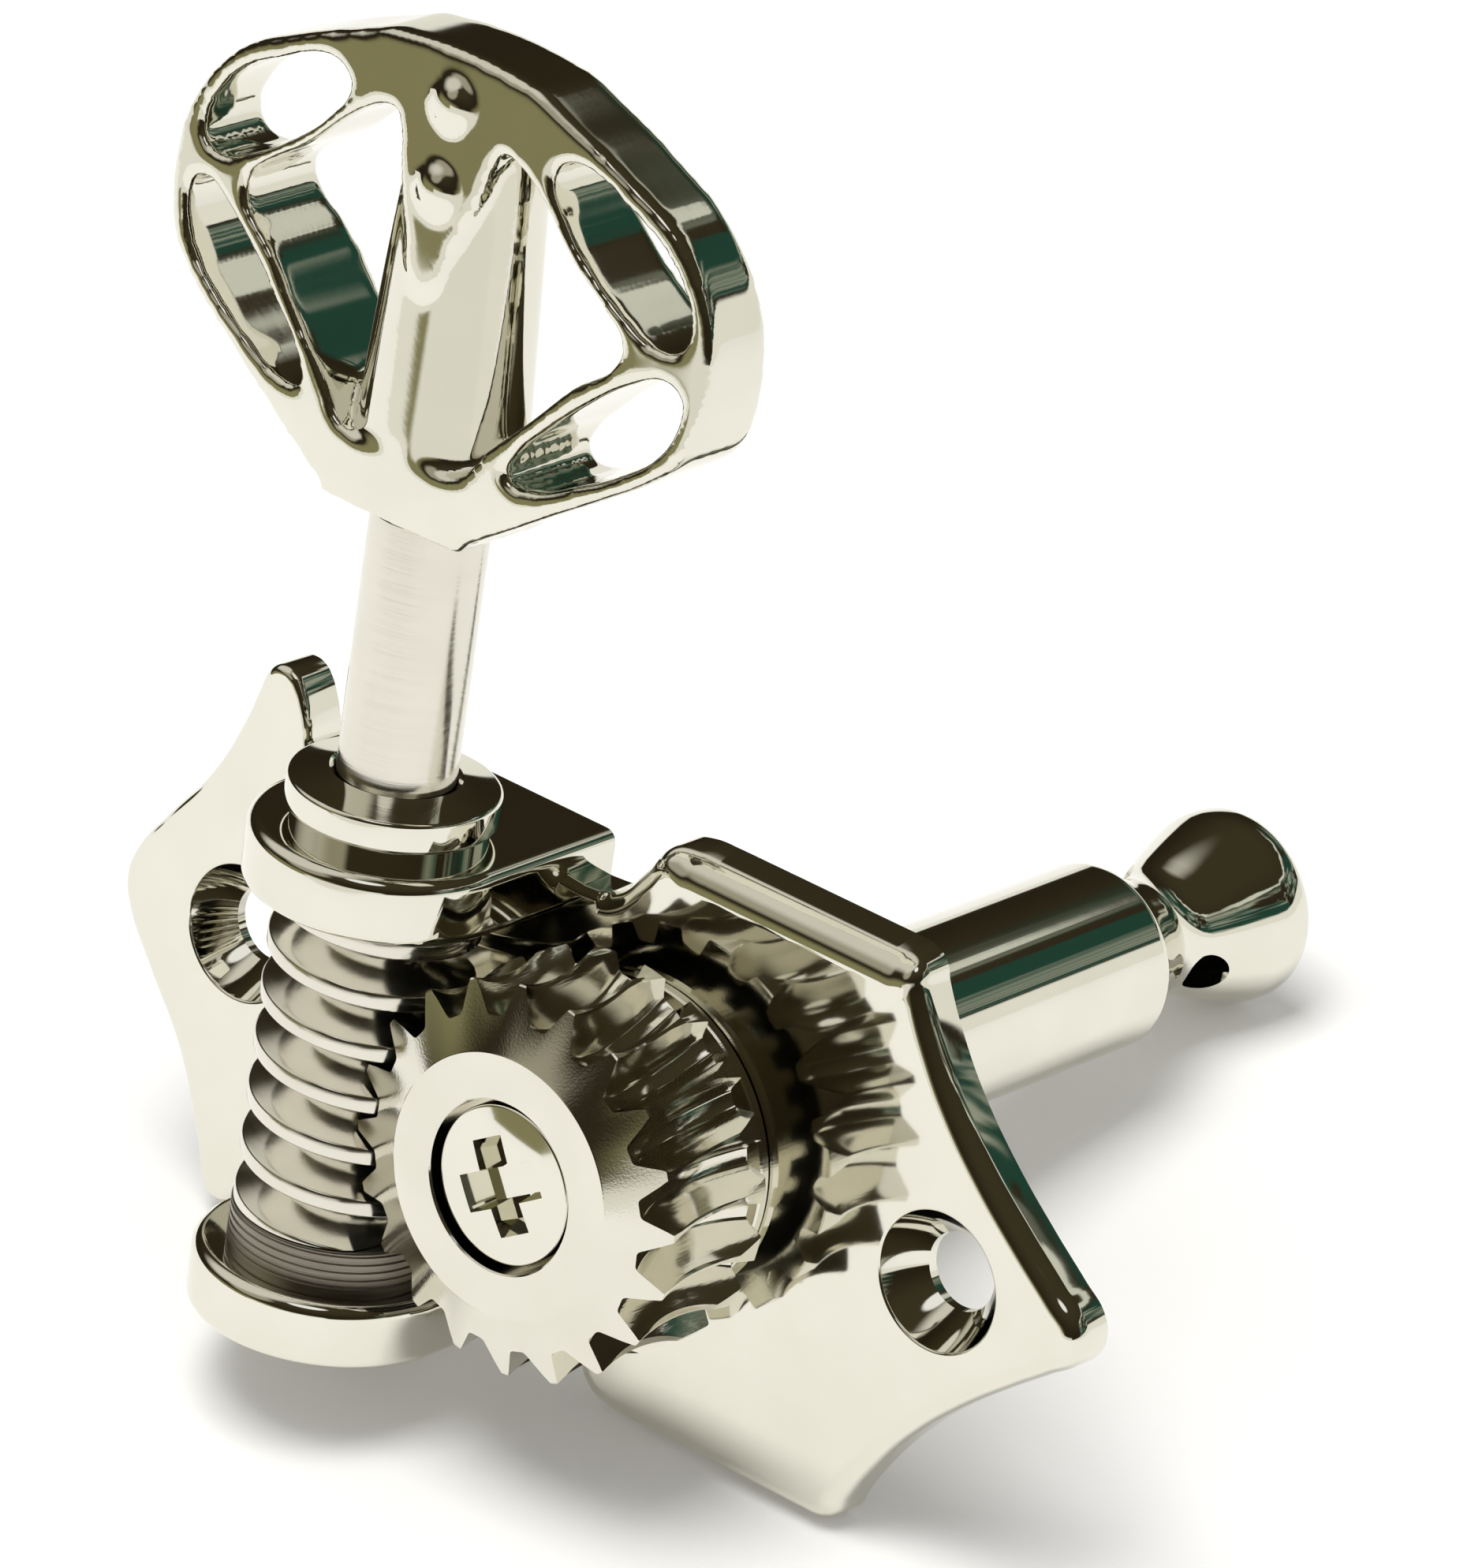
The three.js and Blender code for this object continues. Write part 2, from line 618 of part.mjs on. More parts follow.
function stud(share, side) {
  const height = buttonBottom + share * buttonHeight;
  const depth = side * (buttonHalfDepth(height) + studRise - studSphere);
  return solid(new THREE.SphereGeometry(studSphere, 20, 14)
    .translate(-wormDepth + depth, centreDistance, height));
}
const socketRadius = tenonRadius + fitGap;
const socket = turnedOnWorm([
  [0, buttonBottom - cutOverrun],
  [socketRadius, buttonBottom - cutOverrun],
  [socketRadius, tenonTop + runningGap],
  [0, tenonTop + runningGap],
], plainSteps).subtract(beyondFlats(tenonFlat + fitGap, buttonBottom - 2 * cutOverrun));
let button = solid(buttonBlank).add(spine);
for (const share of studShares) button = button.add(stud(share, -1)).add(stud(share, 1));
addMesh('button', button.subtract(socket), nickel);

export default part;
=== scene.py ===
import json
import math
import bmesh
import bpy
from mathutils import Euler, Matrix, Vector


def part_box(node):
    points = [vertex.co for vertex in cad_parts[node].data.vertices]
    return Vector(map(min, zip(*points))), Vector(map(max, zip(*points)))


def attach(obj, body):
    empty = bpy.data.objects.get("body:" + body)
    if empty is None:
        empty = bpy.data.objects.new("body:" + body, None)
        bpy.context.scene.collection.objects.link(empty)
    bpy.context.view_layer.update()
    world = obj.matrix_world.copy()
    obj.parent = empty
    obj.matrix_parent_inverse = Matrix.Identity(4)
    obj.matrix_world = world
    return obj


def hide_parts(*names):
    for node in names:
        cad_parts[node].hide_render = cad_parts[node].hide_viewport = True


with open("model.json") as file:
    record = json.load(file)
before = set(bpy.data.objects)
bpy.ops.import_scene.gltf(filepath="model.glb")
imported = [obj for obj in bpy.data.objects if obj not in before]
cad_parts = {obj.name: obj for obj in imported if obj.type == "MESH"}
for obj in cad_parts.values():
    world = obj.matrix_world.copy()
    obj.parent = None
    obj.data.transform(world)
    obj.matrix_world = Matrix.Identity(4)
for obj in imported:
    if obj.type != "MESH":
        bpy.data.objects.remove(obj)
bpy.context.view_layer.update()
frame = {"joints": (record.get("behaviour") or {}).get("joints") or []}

# Camera. A long lens looks down on the gear from the button's side, a third of a metre away. The
# lens and the place come from the post's and the screw holes' outlines in the photograph.
mm = 0.001
camera_place = (-251.09 * mm, -189.82 * mm, 150.52 * mm)
camera_turn = (65.9806, -7.7841, -49.5331)
camera_lens = 270.24
sensor_width = 36
nearest_seen = 10 * mm
farthest_seen = 10
camera_data = bpy.data.cameras.new("photograph")
camera_data.lens = camera_lens
camera_data.sensor_fit = "HORIZONTAL"
camera_data.sensor_width = sensor_width
camera_data.clip_start = nearest_seen
camera_data.clip_end = farthest_seen
camera = bpy.data.objects.new("photograph", camera_data)
camera.location = camera_place
camera.rotation_euler = [math.radians(angle) for angle in camera_turn]
bpy.context.scene.collection.objects.link(camera)
bpy.context.scene.camera = camera
bpy.context.scene.view_settings.view_transform = "Standard"

# Table and studio. The tuner lies on a white table on the plate's lower corners and the post's head,
# so the table is level across the plate and rises along the post. A soft box above it and the plain
# light of the room light it, and the polished nickel mirrors the room.
plate_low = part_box("base_plate")[0][2]
post_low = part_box("string_post")[0][2]
post_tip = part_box("string_post")[1][0]
head_edge = 0.2 * mm
table_slope = math.atan2(post_low - plate_low, post_tip - head_edge)
table_radius = 190 * mm
table_sides = 96
table_white = "F4F3F0"
table_glow = 0.08
table_up = Vector((-math.sin(table_slope), 0, math.cos(table_slope)))


def linear(code):
    """A colour written in sRGB hex, as Blender's linear values."""
    shares = [int(code[i:i + 2], 16) / 255 for i in (0, 2, 4)]
    return [s / 12.92 if s <= 0.04045 else ((s + 0.055) / 1.055) ** 2.4 for s in shares] + [1.0]


def add(tree, kind, settings=(), **links):
    """A node with its settings, by name of the setting or the socket, and its links. A link is named
    for its socket, with _ for each space, or by _ and the socket's number."""
    node = tree.nodes.new(kind)
    for name, value in dict(settings).items():
        if hasattr(node, str(name)):
            setattr(node, name, value)
        else:
            node.inputs[name].default_value = value
    for name, source in links.items():
        socket = int(name[1:]) if name[0] == "_" else name.replace("_", " ")
        tree.links.new(node.inputs[socket], source)
    return node


def deselect():
    """Leaves nothing selected, so that the next operator works on its own piece."""
    for thing in bpy.context.selected_objects:
        thing.select_set(False)


deselect()
bpy.ops.mesh.primitive_circle_add(vertices=table_sides, radius=table_radius, fill_type="NGON",
                                  location=(0, 0, plate_low), rotation=(0, -table_slope, 0))
table = bpy.context.object
table.name = "table"

# Matt white card: it scatters all light evenly, so the eye sees plain white with a soft shadow. A
# faint glow, seen by the camera and in reflections, lifts it to full white where no shadow falls.
# It is clear from below, so that the tuner can be seen from there.
card = bpy.data.materials.new("white_card")
card.use_nodes = True
tree = card.node_tree
tree.nodes.clear()
rays = add(tree, "ShaderNodeLightPath")
seen = add(tree, "ShaderNodeMath", {"operation": "MAXIMUM"},
           _0=rays.outputs["Is Camera Ray"], _1=rays.outputs["Is Glossy Ray"])
glow = add(tree, "ShaderNodeMath", {"operation": "MULTIPLY", 1: table_glow}, _0=seen.outputs[0])
paper = add(tree, "ShaderNodeBsdfDiffuse", {"Color": linear(table_white)})
light = add(tree, "ShaderNodeEmission", {"Color": linear("FFFFFF")}, Strength=glow.outputs[0])
front = add(tree, "ShaderNodeAddShader", {}, _0=paper.outputs[0], _1=light.outputs[0])
clear = add(tree, "ShaderNodeBsdfTransparent")
side = add(tree, "ShaderNodeNewGeometry")
one_sided = add(tree, "ShaderNodeMixShader", {}, _0=side.outputs["Backfacing"], _1=front.outputs[0],
                _2=clear.outputs[0])
add(tree, "ShaderNodeOutputMaterial", {}, Surface=one_sided.outputs[0])
table.data.materials.append(card)

# The room, as the nickel mirrors it. A white table lies below and dark brown walls stand above it. On
# the right are a green curtain and a white shelf, on the left an olive hedge and a pale wall, above
# are painted highlights of a large window and a lamp, which light nothing, and a white card stands
# low on the near side. Only mirrored rays meet the room: the camera sees white, and all other rays
# meet a plain soft light.
wall_low, wall_high = "2A2418", "3E3827"
curtain_green, curtain_grey = "23453A", "A3A898"
shelf_white = "D8DACF"
hedge_olive = "8B8762"
pale_wall_grey = "A9A493"
painted_window_highlight = "DCDAD0"
painted_lamp_highlight = "FFFFFF"
floor_cream = "F4F3EA"
low_card_cream = "F0EFE6"
towards_left = (-0.85, 0.5, 0)
towards_right = (0.8, -0.6, 0)
towards_pale_wall = (-0.77, 0.38, 0.41)
towards_window_highlight = (-0.3, 0.55, 0.78)
towards_lamp_highlight = (-0.5, -0.18, 0.85)
towards_low_card = (-0.92, -0.15, -0.25)
wobble_height = 0.14
floor_tilt = 0.13
plain_light = 0.42
world = bpy.data.worlds.new("studio")
bpy.context.scene.world = world
world.use_nodes = True
tree = world.node_tree
tree.nodes.clear()
direction = add(tree, "ShaderNodeTexCoord").outputs["Generated"]


def facing(towards):
    """How far a direction of the room lies towards another, from -1 to 1."""
    product = add(tree, "ShaderNodeVectorMath", {"operation": "DOT_PRODUCT"}, _0=direction)
    product.inputs[1].default_value = Vector(towards).normalized()
    return product.outputs["Value"]


def between(value, low, high):
    """0 at low, 1 at high, smooth between. Sockets 1 and 2 of the node are these two ends."""
    ends = {"interpolation_type": "SMOOTHSTEP", 1: low, 2: high}
    ramp = add(tree, "ShaderNodeMapRange", ends, _0=value)
    return ramp.outputs[0]


def painted(share, under, over):
    """One colour over another, by a share from 0 to 1. Colours are hex or sockets, and the node takes
    them at its sockets 6 and 7."""
    mix = add(tree, "ShaderNodeMix", {"data_type": "RGBA"}, _0=share)
    for socket, colour in ((6, under), (7, over)):
        if isinstance(colour, str):
            mix.inputs[socket].default_value = linear(colour)
        else:
            tree.links.new(mix.inputs[socket], colour)
    return mix.outputs[2]


def both(share, other):
    """Two shares multiplied."""
    return add(tree, "ShaderNodeMath", {"operation": "MULTIPLY"}, _0=share, _1=other).outputs[0]


# Heights and directions are cosines: 1 is straight towards, and 0 is level with the table or square
height = facing(table_up)
left = facing(towards_left)
right = facing(towards_right)
at_right = between(right, 0.4, 0.62)
wobble = add(tree, "ShaderNodeTexNoise", {"Scale": 7.0, "Detail": 4.0}, Vector=direction)
ragged = add(tree, "ShaderNodeMath", {"operation": "MULTIPLY_ADD", 1: wobble_height},
             _0=wobble.outputs[0], _2=height).outputs[0]
hanging = add(tree, "ShaderNodeMapping", {"Scale": (2.0, 2.0, 15.0)}, Vector=direction)
folds = add(tree, "ShaderNodeTexNoise", {"Scale": 1.0, "Detail": 3.0}, Vector=hanging.outputs[0])
patches = add(tree, "ShaderNodeTexNoise", {"Scale": 4.0, "Detail": 5.0}, Vector=direction)
cloth = painted(between(folds.outputs[0], 0.46, 0.62), curtain_green, curtain_grey)
curtain = both(at_right, between(ragged, 0.57, 0.5))
room = painted(between(height, 0.1, 0.9), wall_low, wall_high)
room = painted(both(curtain, between(patches.outputs[0], 0.42, 0.48)), room, cloth)
shelf = both(both(between(ragged, 0.55, 0.56), between(ragged, 0.6, 0.59)), at_right)
room = painted(shelf, room, shelf_white)
hedge = both(between(left, 0.72, 0.95), between(height, 0.26, 0.06))
room = painted(hedge, room, hedge_olive)
room = painted(between(facing(towards_pale_wall), 0.925, 0.975), room, pale_wall_grey)
# Painted highlights: a large window and a small lamp, seen only in the nickel, which light nothing
room = painted(between(facing(towards_window_highlight), 0.78, 0.93), room, painted_window_highlight)
room = painted(between(facing(towards_lamp_highlight), 0.972, 0.985), room, painted_lamp_highlight)
floor_edge = add(tree, "ShaderNodeMath", {"operation": "MULTIPLY_ADD", 1: floor_tilt},
                 _0=left, _2=height).outputs[0]
room = painted(between(floor_edge, 0.012, -0.012), room, floor_cream)
low_card = both(between(facing(towards_low_card), 0.82, 0.88), between(height, 0.1, 0.02))
room = painted(low_card, room, low_card_cream)
rays = add(tree, "ShaderNodeLightPath")
mirrored = add(tree, "ShaderNodeBackground", {"Strength": 1.0}, Color=room)
plain = add(tree, "ShaderNodeBackground", {"Color": linear("FFFFFF"), "Strength": plain_light})
white = add(tree, "ShaderNodeBackground", {"Color": linear("FFFFFF"), "Strength": 1.0})
metal_sees = add(tree, "ShaderNodeMixShader", {}, _0=rays.outputs["Is Glossy Ray"],
                 _1=plain.outputs[0], _2=mirrored.outputs[0])
camera_sees = add(tree, "ShaderNodeMixShader", {}, _0=rays.outputs["Is Camera Ray"],
                  _1=metal_sees.outputs[0], _2=white.outputs[0])
add(tree, "ShaderNodeOutputWorld", {}, Surface=camera_sees.outputs[0])

# The soft box hangs above and in front. The camera and the mirrored rays don't see it.
box_towards = Vector((-0.35, 0.08, 0.93))
box_distance = 600 * mm
box_side = 340 * mm
box_power = 2.9
box_data = bpy.data.lights.new("overhead_box", "AREA")
box_data.shape = "RECTANGLE"
box_data.size = box_side
box_data.size_y = box_side
box_data.energy = box_power
overhead_box = bpy.data.objects.new("overhead_box", box_data)
overhead_box.location = box_towards.normalized() * box_distance
overhead_box.rotation_euler = box_towards.to_track_quat("Z", "Y").to_euler()
overhead_box.visible_camera = False
overhead_box.visible_glossy = False
bpy.context.scene.collection.objects.link(overhead_box)

# Base plate. One casting in polished nickel: a flat seat that lies on the headstock, two ornamental
# wings with a countersunk screw hole in each, and two ears that carry the worm. Its front edge is
# rounded by the buffing wheel, and its back edge is left sharp.
plate_thickness = 1.6 * mm
plate_rounding = 0.7 * mm
plate_outline = (
    (22.4, 0.0, "smooth"), (22.1, 1.1, "smooth"), (20.97, 2.75, "smooth"), (19.35, 4.9, "smooth"),
    (18.25, 7.2, "smooth"), (17.85, 8.4, "smooth"), (17.65, 9.0, "smooth"), (17.36, 9.42, "smooth"),
    (16.91, 9.58, "smooth"), (16.42, 9.46, "smooth"), (16.13, 9.19, "smooth"), (15.81, 8.64, "smooth"),
    (15.55, 7.94, "smooth"), (15.4, 7.4, "smooth"), (15.1, 7.1, "sharp"), (3.2, 7.1, "smooth"),
    (2.6, 7.25, "smooth"), (1.56, 8.43, "smooth"), (0.75, 9.55, "smooth"), (-0.1, 9.87, "smooth"),
    (-1.2, 9.93, "sharp"), (-8.3, 9.93, "sharp"), (-9.1, 9.86, "smooth"), (-9.62, 9.5, "smooth"),
    (-9.85, 8.9, "smooth"), (-10.78, 7.25, "smooth"), (-11.85, 5.79, "smooth"), (-13.42, 4.15, "smooth"),
    (-15.29, 2.55, "smooth"), (-16.7, 1.45, "smooth"), (-17.55, 0.75, "smooth"),
)
near_tip = (-17.8, 0.0, "smooth")
far_wing_start = 3.0 * mm
far_wing_share = 0.42
rounding_steps = 8
same_point = 0.001 * mm
screw_holes = (-12.26 * mm, 17.16 * mm)
screw_hole_radius = 1.3 * mm
countersink_radius = 2.285 * mm
worm_x, worm_y, _ = frame["joints"][0]["pos_m"]


def worked_metal(name, colours, roughness, marks_mm=0.12, marks_depth_mm=0.0, drawn=(1, 1, 1)):
    """A metal with clouds between two colours, faint waves, and marks of a width and a depth, which
    are drawn out along each axis whose share is below 1. Sockets 6 and 7 of the mix take its
    colours, and sockets 3 and 4 of the map the least and the most roughness."""
    cloud_size = 2.5 * mm
    wave_depth = 0.0012 * mm
    smoothest, roughest = 0.6, 1.6
    material = bpy.data.materials.new(name)
    material.use_nodes = True
    tree = material.node_tree
    tree.nodes.clear()
    spot = add(tree, "ShaderNodeTexCoord").outputs["Object"]
    cloud = add(tree, "ShaderNodeTexNoise", {"Scale": 1 / cloud_size, "Detail": 2.0}, Vector=spot)
    tints = {"data_type": "RGBA", 6: linear(colours[0]), 7: linear(colours[1])}
    tint = add(tree, "ShaderNodeMix", tints, _0=cloud.outputs[0])
    pulled = add(tree, "ShaderNodeMapping", {"Scale": drawn}, Vector=spot)
    fine = add(tree, "ShaderNodeTexNoise", {"Scale": 1 / (marks_mm * mm), "Detail": 3.0},
               Vector=pulled.outputs[0])
    matt = add(tree, "ShaderNodeMapRange", {3: roughness * smoothest, 4: roughness * roughest},
               _0=fine.outputs[0])
    waves = add(tree, "ShaderNodeBump", {"Strength": 1.0, "Distance": wave_depth},
                Height=cloud.outputs[0])
    marks = add(tree, "ShaderNodeBump", {"Strength": 1.0, "Distance": marks_depth_mm * mm},
                Height=fine.outputs[0], Normal=waves.outputs[0])
    metal = add(tree, "ShaderNodeBsdfPrincipled", {"Metallic": 1.0}, Base_Color=tint.outputs[2],
                Roughness=matt.outputs[0], Normal=marks.outputs[0])
    add(tree, "ShaderNodeOutputMaterial", {}, Surface=metal.outputs[0])
    return material


# Nickel plate, buffed to a mirror: the eye sees the room in warm white, bent by the faint waves that
# the buffing wheel leaves, and a gloss that changes a little from spot to spot. It has no marks.
nickel = worked_metal("polished_nickel", ("E8E6DB", "DFDDD0"), roughness=0.045)


def wire(name, points, turn=(0, 0, 0), resolution=10):
    """A closed wire through points in millimetres, smooth or sharp at each."""
    deselect()
    bpy.ops.curve.primitive_bezier_curve_add()
    curve = bpy.context.object
    curve.name = name
    spline = curve.data.splines[0]
    spline.bezier_points.add(len(points) - 2)
    spline.use_cyclic_u = True
    curve.data.resolution_u = resolution
    for point, (across, up, kind) in zip(spline.bezier_points, points):
        handle = "AUTO" if kind == "smooth" else "VECTOR"
        point.handle_left_type = handle
        point.handle_right_type = handle
        point.co = (across * mm, up * mm, 0)
    bpy.context.view_layer.update()
    bpy.ops.object.convert(target="MESH")
    piece = bpy.context.object
    piece.rotation_euler = [math.radians(angle) for angle in turn]
    return piece


def settle():
    """The active piece's place and turn go into its mesh."""
    bpy.ops.object.transform_apply(location=True, rotation=True, scale=True)


def choose(piece, kind, test):
    """In edit mode, selects only the vertices, edges or faces that pass a test."""
    bpy.ops.mesh.select_mode(type={"verts": "VERT", "edges": "EDGE", "faces": "FACE"}[kind])
    bpy.ops.mesh.select_all(action="DESELECT")
    shape = bmesh.from_edit_mesh(piece.data)
    for item in getattr(shape, kind):
        if test(item):
            item.select_set(True)
    shape.select_flush_mode()
    bmesh.update_edit_mesh(piece.data)


def middle(edge):
    """The point halfway along an edge."""
    return (edge.verts[0].co + edge.verts[1].co) / 2


def filled(piece, lift):
    """Fills a wire and lifts its face into a solid."""
    bpy.ops.object.mode_set(mode="EDIT")
    bpy.ops.mesh.select_mode(type="VERT")
    bpy.ops.mesh.select_all(action="SELECT")
    bpy.ops.mesh.remove_doubles(threshold=same_point)
    bpy.ops.mesh.edge_face_add()
    bpy.ops.mesh.extrude_region_move(TRANSFORM_OT_translate={"value": lift})
    bpy.ops.mesh.select_all(action="SELECT")
    bpy.ops.mesh.normals_make_consistent(inside=False)


def apply_all(piece):
    """Applies a piece's modifiers."""
    deselect()
    piece.select_set(True)
    bpy.context.view_layer.objects.active = piece
    for modifier in list(piece.modifiers):
        bpy.ops.object.modifier_apply(modifier=modifier.name)


def combine(piece, tool, operation):
    """Joins a tool to a piece or cuts it away, and removes the tool."""
    modifier = piece.modifiers.new("combine", "BOOLEAN")
    modifier.operation = operation
    modifier.object = tool
    modifier.solver = "EXACT"
    apply_all(piece)
    bpy.data.objects.remove(tool)


def turned(name, profile, segments=128, hollow=False):
    """A piece turned upwards from pairs of radius and height. A hollow one comes back to its start."""
    deselect()
    radius, height = profile[0]
    bpy.ops.mesh.primitive_circle_add(vertices=segments, radius=radius, location=(0, 0, height))
    piece = bpy.context.object
    piece.name = name
    settle()
    bpy.ops.object.mode_set(mode="EDIT")
    bpy.ops.mesh.select_mode(type="VERT")
    bpy.ops.mesh.select_all(action="SELECT")
    for next_radius, next_height in profile[1:]:
        bpy.ops.mesh.extrude_region_move(TRANSFORM_OT_translate={"value": (0, 0, next_height - height)})
        change = next_radius / radius
        bpy.ops.transform.resize(value=(change, change, 1), center_override=(0, 0, next_height))
        radius, height = next_radius, next_height
    bpy.ops.mesh.select_all(action="SELECT")
    if hollow:
        bpy.ops.mesh.remove_doubles(threshold=same_point)
    else:
        bpy.ops.mesh.fill_holes(sides=0)
    bpy.ops.mesh.normals_make_consistent(inside=False)
    bpy.ops.object.mode_set(mode="OBJECT")
    return piece


def place(piece, where, turn=(0, 0, 0)):
    """Turns a piece, moves it, and settles both in its mesh."""
    deselect()
    piece.select_set(True)
    bpy.context.view_layer.objects.active = piece
    piece.rotation_euler = [math.radians(angle) for angle in turn]
    piece.location = where
    settle()
    return piece


def rounded(start, end, bulge, steps=6):
    """Pairs of radius and height from start to end along a quarter ellipse. It leaves start upright
    for a bulge of 1, and level for 0."""
    (r0, h0), (r1, h1) = start, end
    pairs = []
    for i in range(steps + 1):
        angle = math.pi / 2 * i / steps
        if bulge:
            pairs.append((r0 + (r1 - r0) * (1 - math.cos(angle)), h0 + (h1 - h0) * math.sin(angle)))
        else:
            pairs.append((r0 + (r1 - r0) * math.sin(angle), h0 + (h1 - h0) * (1 - math.cos(angle))))
    return pairs


def polished(piece, material, body, node, smooth_under=32, flat_faces=True):
    """Gives a finished piece its smooth shading, metal and body, and hides its CAD node."""
    deselect()
    piece.select_set(True)
    bpy.context.view_layer.objects.active = piece
    bpy.ops.object.shade_smooth_by_angle(angle=math.radians(smooth_under))
    if flat_faces:
        weigh = piece.modifiers.new("flat faces", "WEIGHTED_NORMAL")
        weigh.keep_sharp = True
        bpy.ops.object.modifier_apply(modifier=weigh.name)
    piece.data.materials.clear()
    piece.data.materials.append(material)
    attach(piece, body)
    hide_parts(node)


def rounding_at(y):
    """The share of the full rounding that the front edge has at a place along the plate."""
    return 1.0 if y < far_wing_start else far_wing_share


# The outline's lower half mirrors its upper half, and only the front's edges are rounded
lower = [(y, -z, kind) for y, z, kind in reversed(plate_outline[1:])]
plate = wire("tuner_plate", list(plate_outline) + [near_tip] + lower, turn=(90, 0, 90))
settle()
filled(plate, (-plate_thickness, 0, 0))
shape = bmesh.from_edit_mesh(plate.data)
weight = shape.edges.layers.float.new("bevel_weight_edge")
for edge in shape.edges:
    if all(vertex.co.x < -0.5 * plate_thickness for vertex in edge.verts):
        edge[weight] = rounding_at(middle(edge).y)
bmesh.update_edit_mesh(plate.data)
bpy.ops.object.mode_set(mode="OBJECT")
edge_round = plate.modifiers.new("buffed edge", "BEVEL")
edge_round.limit_method = "WEIGHT"
edge_round.width = plate_rounding
edge_round.segments = rounding_steps
edge_round.use_clamp_overlap = False
apply_all(plate)

# The near wing's top edge is buffed nearly twice as round, which fades out at its two corners
top_height = 9.93 * mm
top_rounding = 1.35 * mm
top_fades = ((-9.7 * mm, -8.6 * mm), (0.9 * mm, -0.3 * mm))


def arc_height(x, radius):
    """How high an edge rounded by a radius stands at a depth x of the plate."""
    reach = min(max(radius - (x + plate_thickness), 0), radius)
    return top_height - radius + math.sqrt(radius ** 2 - reach ** 2)


def faded(y):
    """1 along the top edge, falling smoothly to 0 at its corners."""
    share = 1
    for none, full in top_fades:
        part = min(max((y - none) / (full - none), 0), 1)
        share *= part * part * (3 - 2 * part)
    return share


for vertex in plate.data.vertices:
    if vertex.co.z > top_height - top_rounding and vertex.co.x < 0:
        drop = arc_height(vertex.co.x, plate_rounding) - arc_height(vertex.co.x, top_rounding)
        vertex.co.z -= drop * faded(vertex.co.y)

# The ears stand out from the plate's front, with a round end about the worm and rounded rims. A rim
# is an edge whose two faces turn by more than sharp_corner, in radians.
ear_inner = 6.3 * mm
ear_outer = 8.54 * mm
ear_radius = 4.47 * mm
ear_rim = 0.42 * mm
ear_steps = 48
ear_rim_steps = 6
sharp_corner = 1
slack = 0.01 * mm


def ear(side):
    """An ear above the worm's middle for side 1, below it for side -1."""
    deselect()
    bpy.ops.mesh.primitive_circle_add(vertices=2 * ear_steps, radius=ear_radius,
                                      location=(worm_x, worm_y, side * ear_inner))
    piece = bpy.context.object
    settle()
    bpy.ops.object.mode_set(mode="EDIT")
    choose(piece, "verts", lambda vertex: vertex.co.x > worm_x + slack)
    bpy.ops.mesh.delete(type="VERT")
    choose(piece, "verts", lambda vertex: vertex.co.x > worm_x - slack)
    bpy.ops.mesh.extrude_region_move(TRANSFORM_OT_translate={"value": (-worm_x, 0, 0)})
    bpy.ops.mesh.select_all(action="SELECT")

    # Leaving edit mode stores the longer arc in the mesh
    bpy.ops.object.mode_set(mode="OBJECT")
    bpy.ops.object.mode_set(mode="EDIT")
    choose(piece, "verts", lambda vertex: vertex.co.x > -slack)
    bpy.ops.mesh.edge_face_add()
    bpy.ops.mesh.select_all(action="SELECT")
    bpy.ops.mesh.edge_face_add()
    lift = (0, 0, side * (ear_outer - ear_inner))
    bpy.ops.mesh.extrude_region_move(TRANSFORM_OT_translate={"value": lift})
    bpy.ops.mesh.select_all(action="SELECT")
    bpy.ops.mesh.normals_make_consistent(inside=False)
    choose(piece, "edges", lambda edge: middle(edge).x < -slack
           and abs(edge.verts[0].co.z - edge.verts[1].co.z) < slack
           and edge.calc_face_angle(0) > sharp_corner)
    bpy.ops.mesh.bevel(offset=ear_rim, segments=ear_rim_steps, affect="EDGES", clamp_overlap=False)
    bpy.ops.object.mode_set(mode="OBJECT")
    return piece


for side in (1, -1):
    combine(plate, ear(side), "UNION")

# The ears' and the post's bores, and the screw holes with their countersinks
bush_bore = 2.75 * mm
post_bore = 2.6 * mm
sunk_rim = 0.1 * mm
sunk_floor = 0.35 * mm
overrun = 1 * mm
crumb = 0.012 * mm
flat_normal = 0.9999
flat_angle = math.radians(0.3)
bore = place(turned("ear_bore", [(bush_bore, -ear_outer - overrun), (bush_bore, ear_outer + overrun)]),
             (worm_x, worm_y, 0))
combine(plate, bore, "DIFFERENCE")
bore = place(turned("post_bore", [(post_bore, -plate_thickness - overrun), (post_bore, overrun)]),
             (0, 0, 0), turn=(0, 90, 0))
combine(plate, bore, "DIFFERENCE")
sunk = [(countersink_radius + sunk_rim, -plate_thickness - overrun)]
sunk += rounded((countersink_radius + sunk_rim, -plate_thickness),
                (countersink_radius, sunk_rim - plate_thickness), 0, 4)
sunk += [(screw_hole_radius, -sunk_floor), (screw_hole_radius, overrun)]
for y in screw_holes:
    hole = place(turned("screw_hole", sunk), (0, y, 0), turn=(0, 90, 0))
    combine(plate, hole, "DIFFERENCE")

# Slivers narrower than a crumb are closed, and the flat faces lose the edges that they don't need
bpy.ops.object.mode_set(mode="EDIT")
bpy.ops.mesh.select_all(action="SELECT")
bpy.ops.mesh.remove_doubles(threshold=crumb)
choose(plate, "faces", lambda face: max(abs(face.normal.x), abs(face.normal.z)) > flat_normal)
bpy.ops.mesh.dissolve_limited(angle_limit=flat_angle)
bpy.ops.object.mode_set(mode="OBJECT")
polished(plate, nickel, "plate", "base_plate")

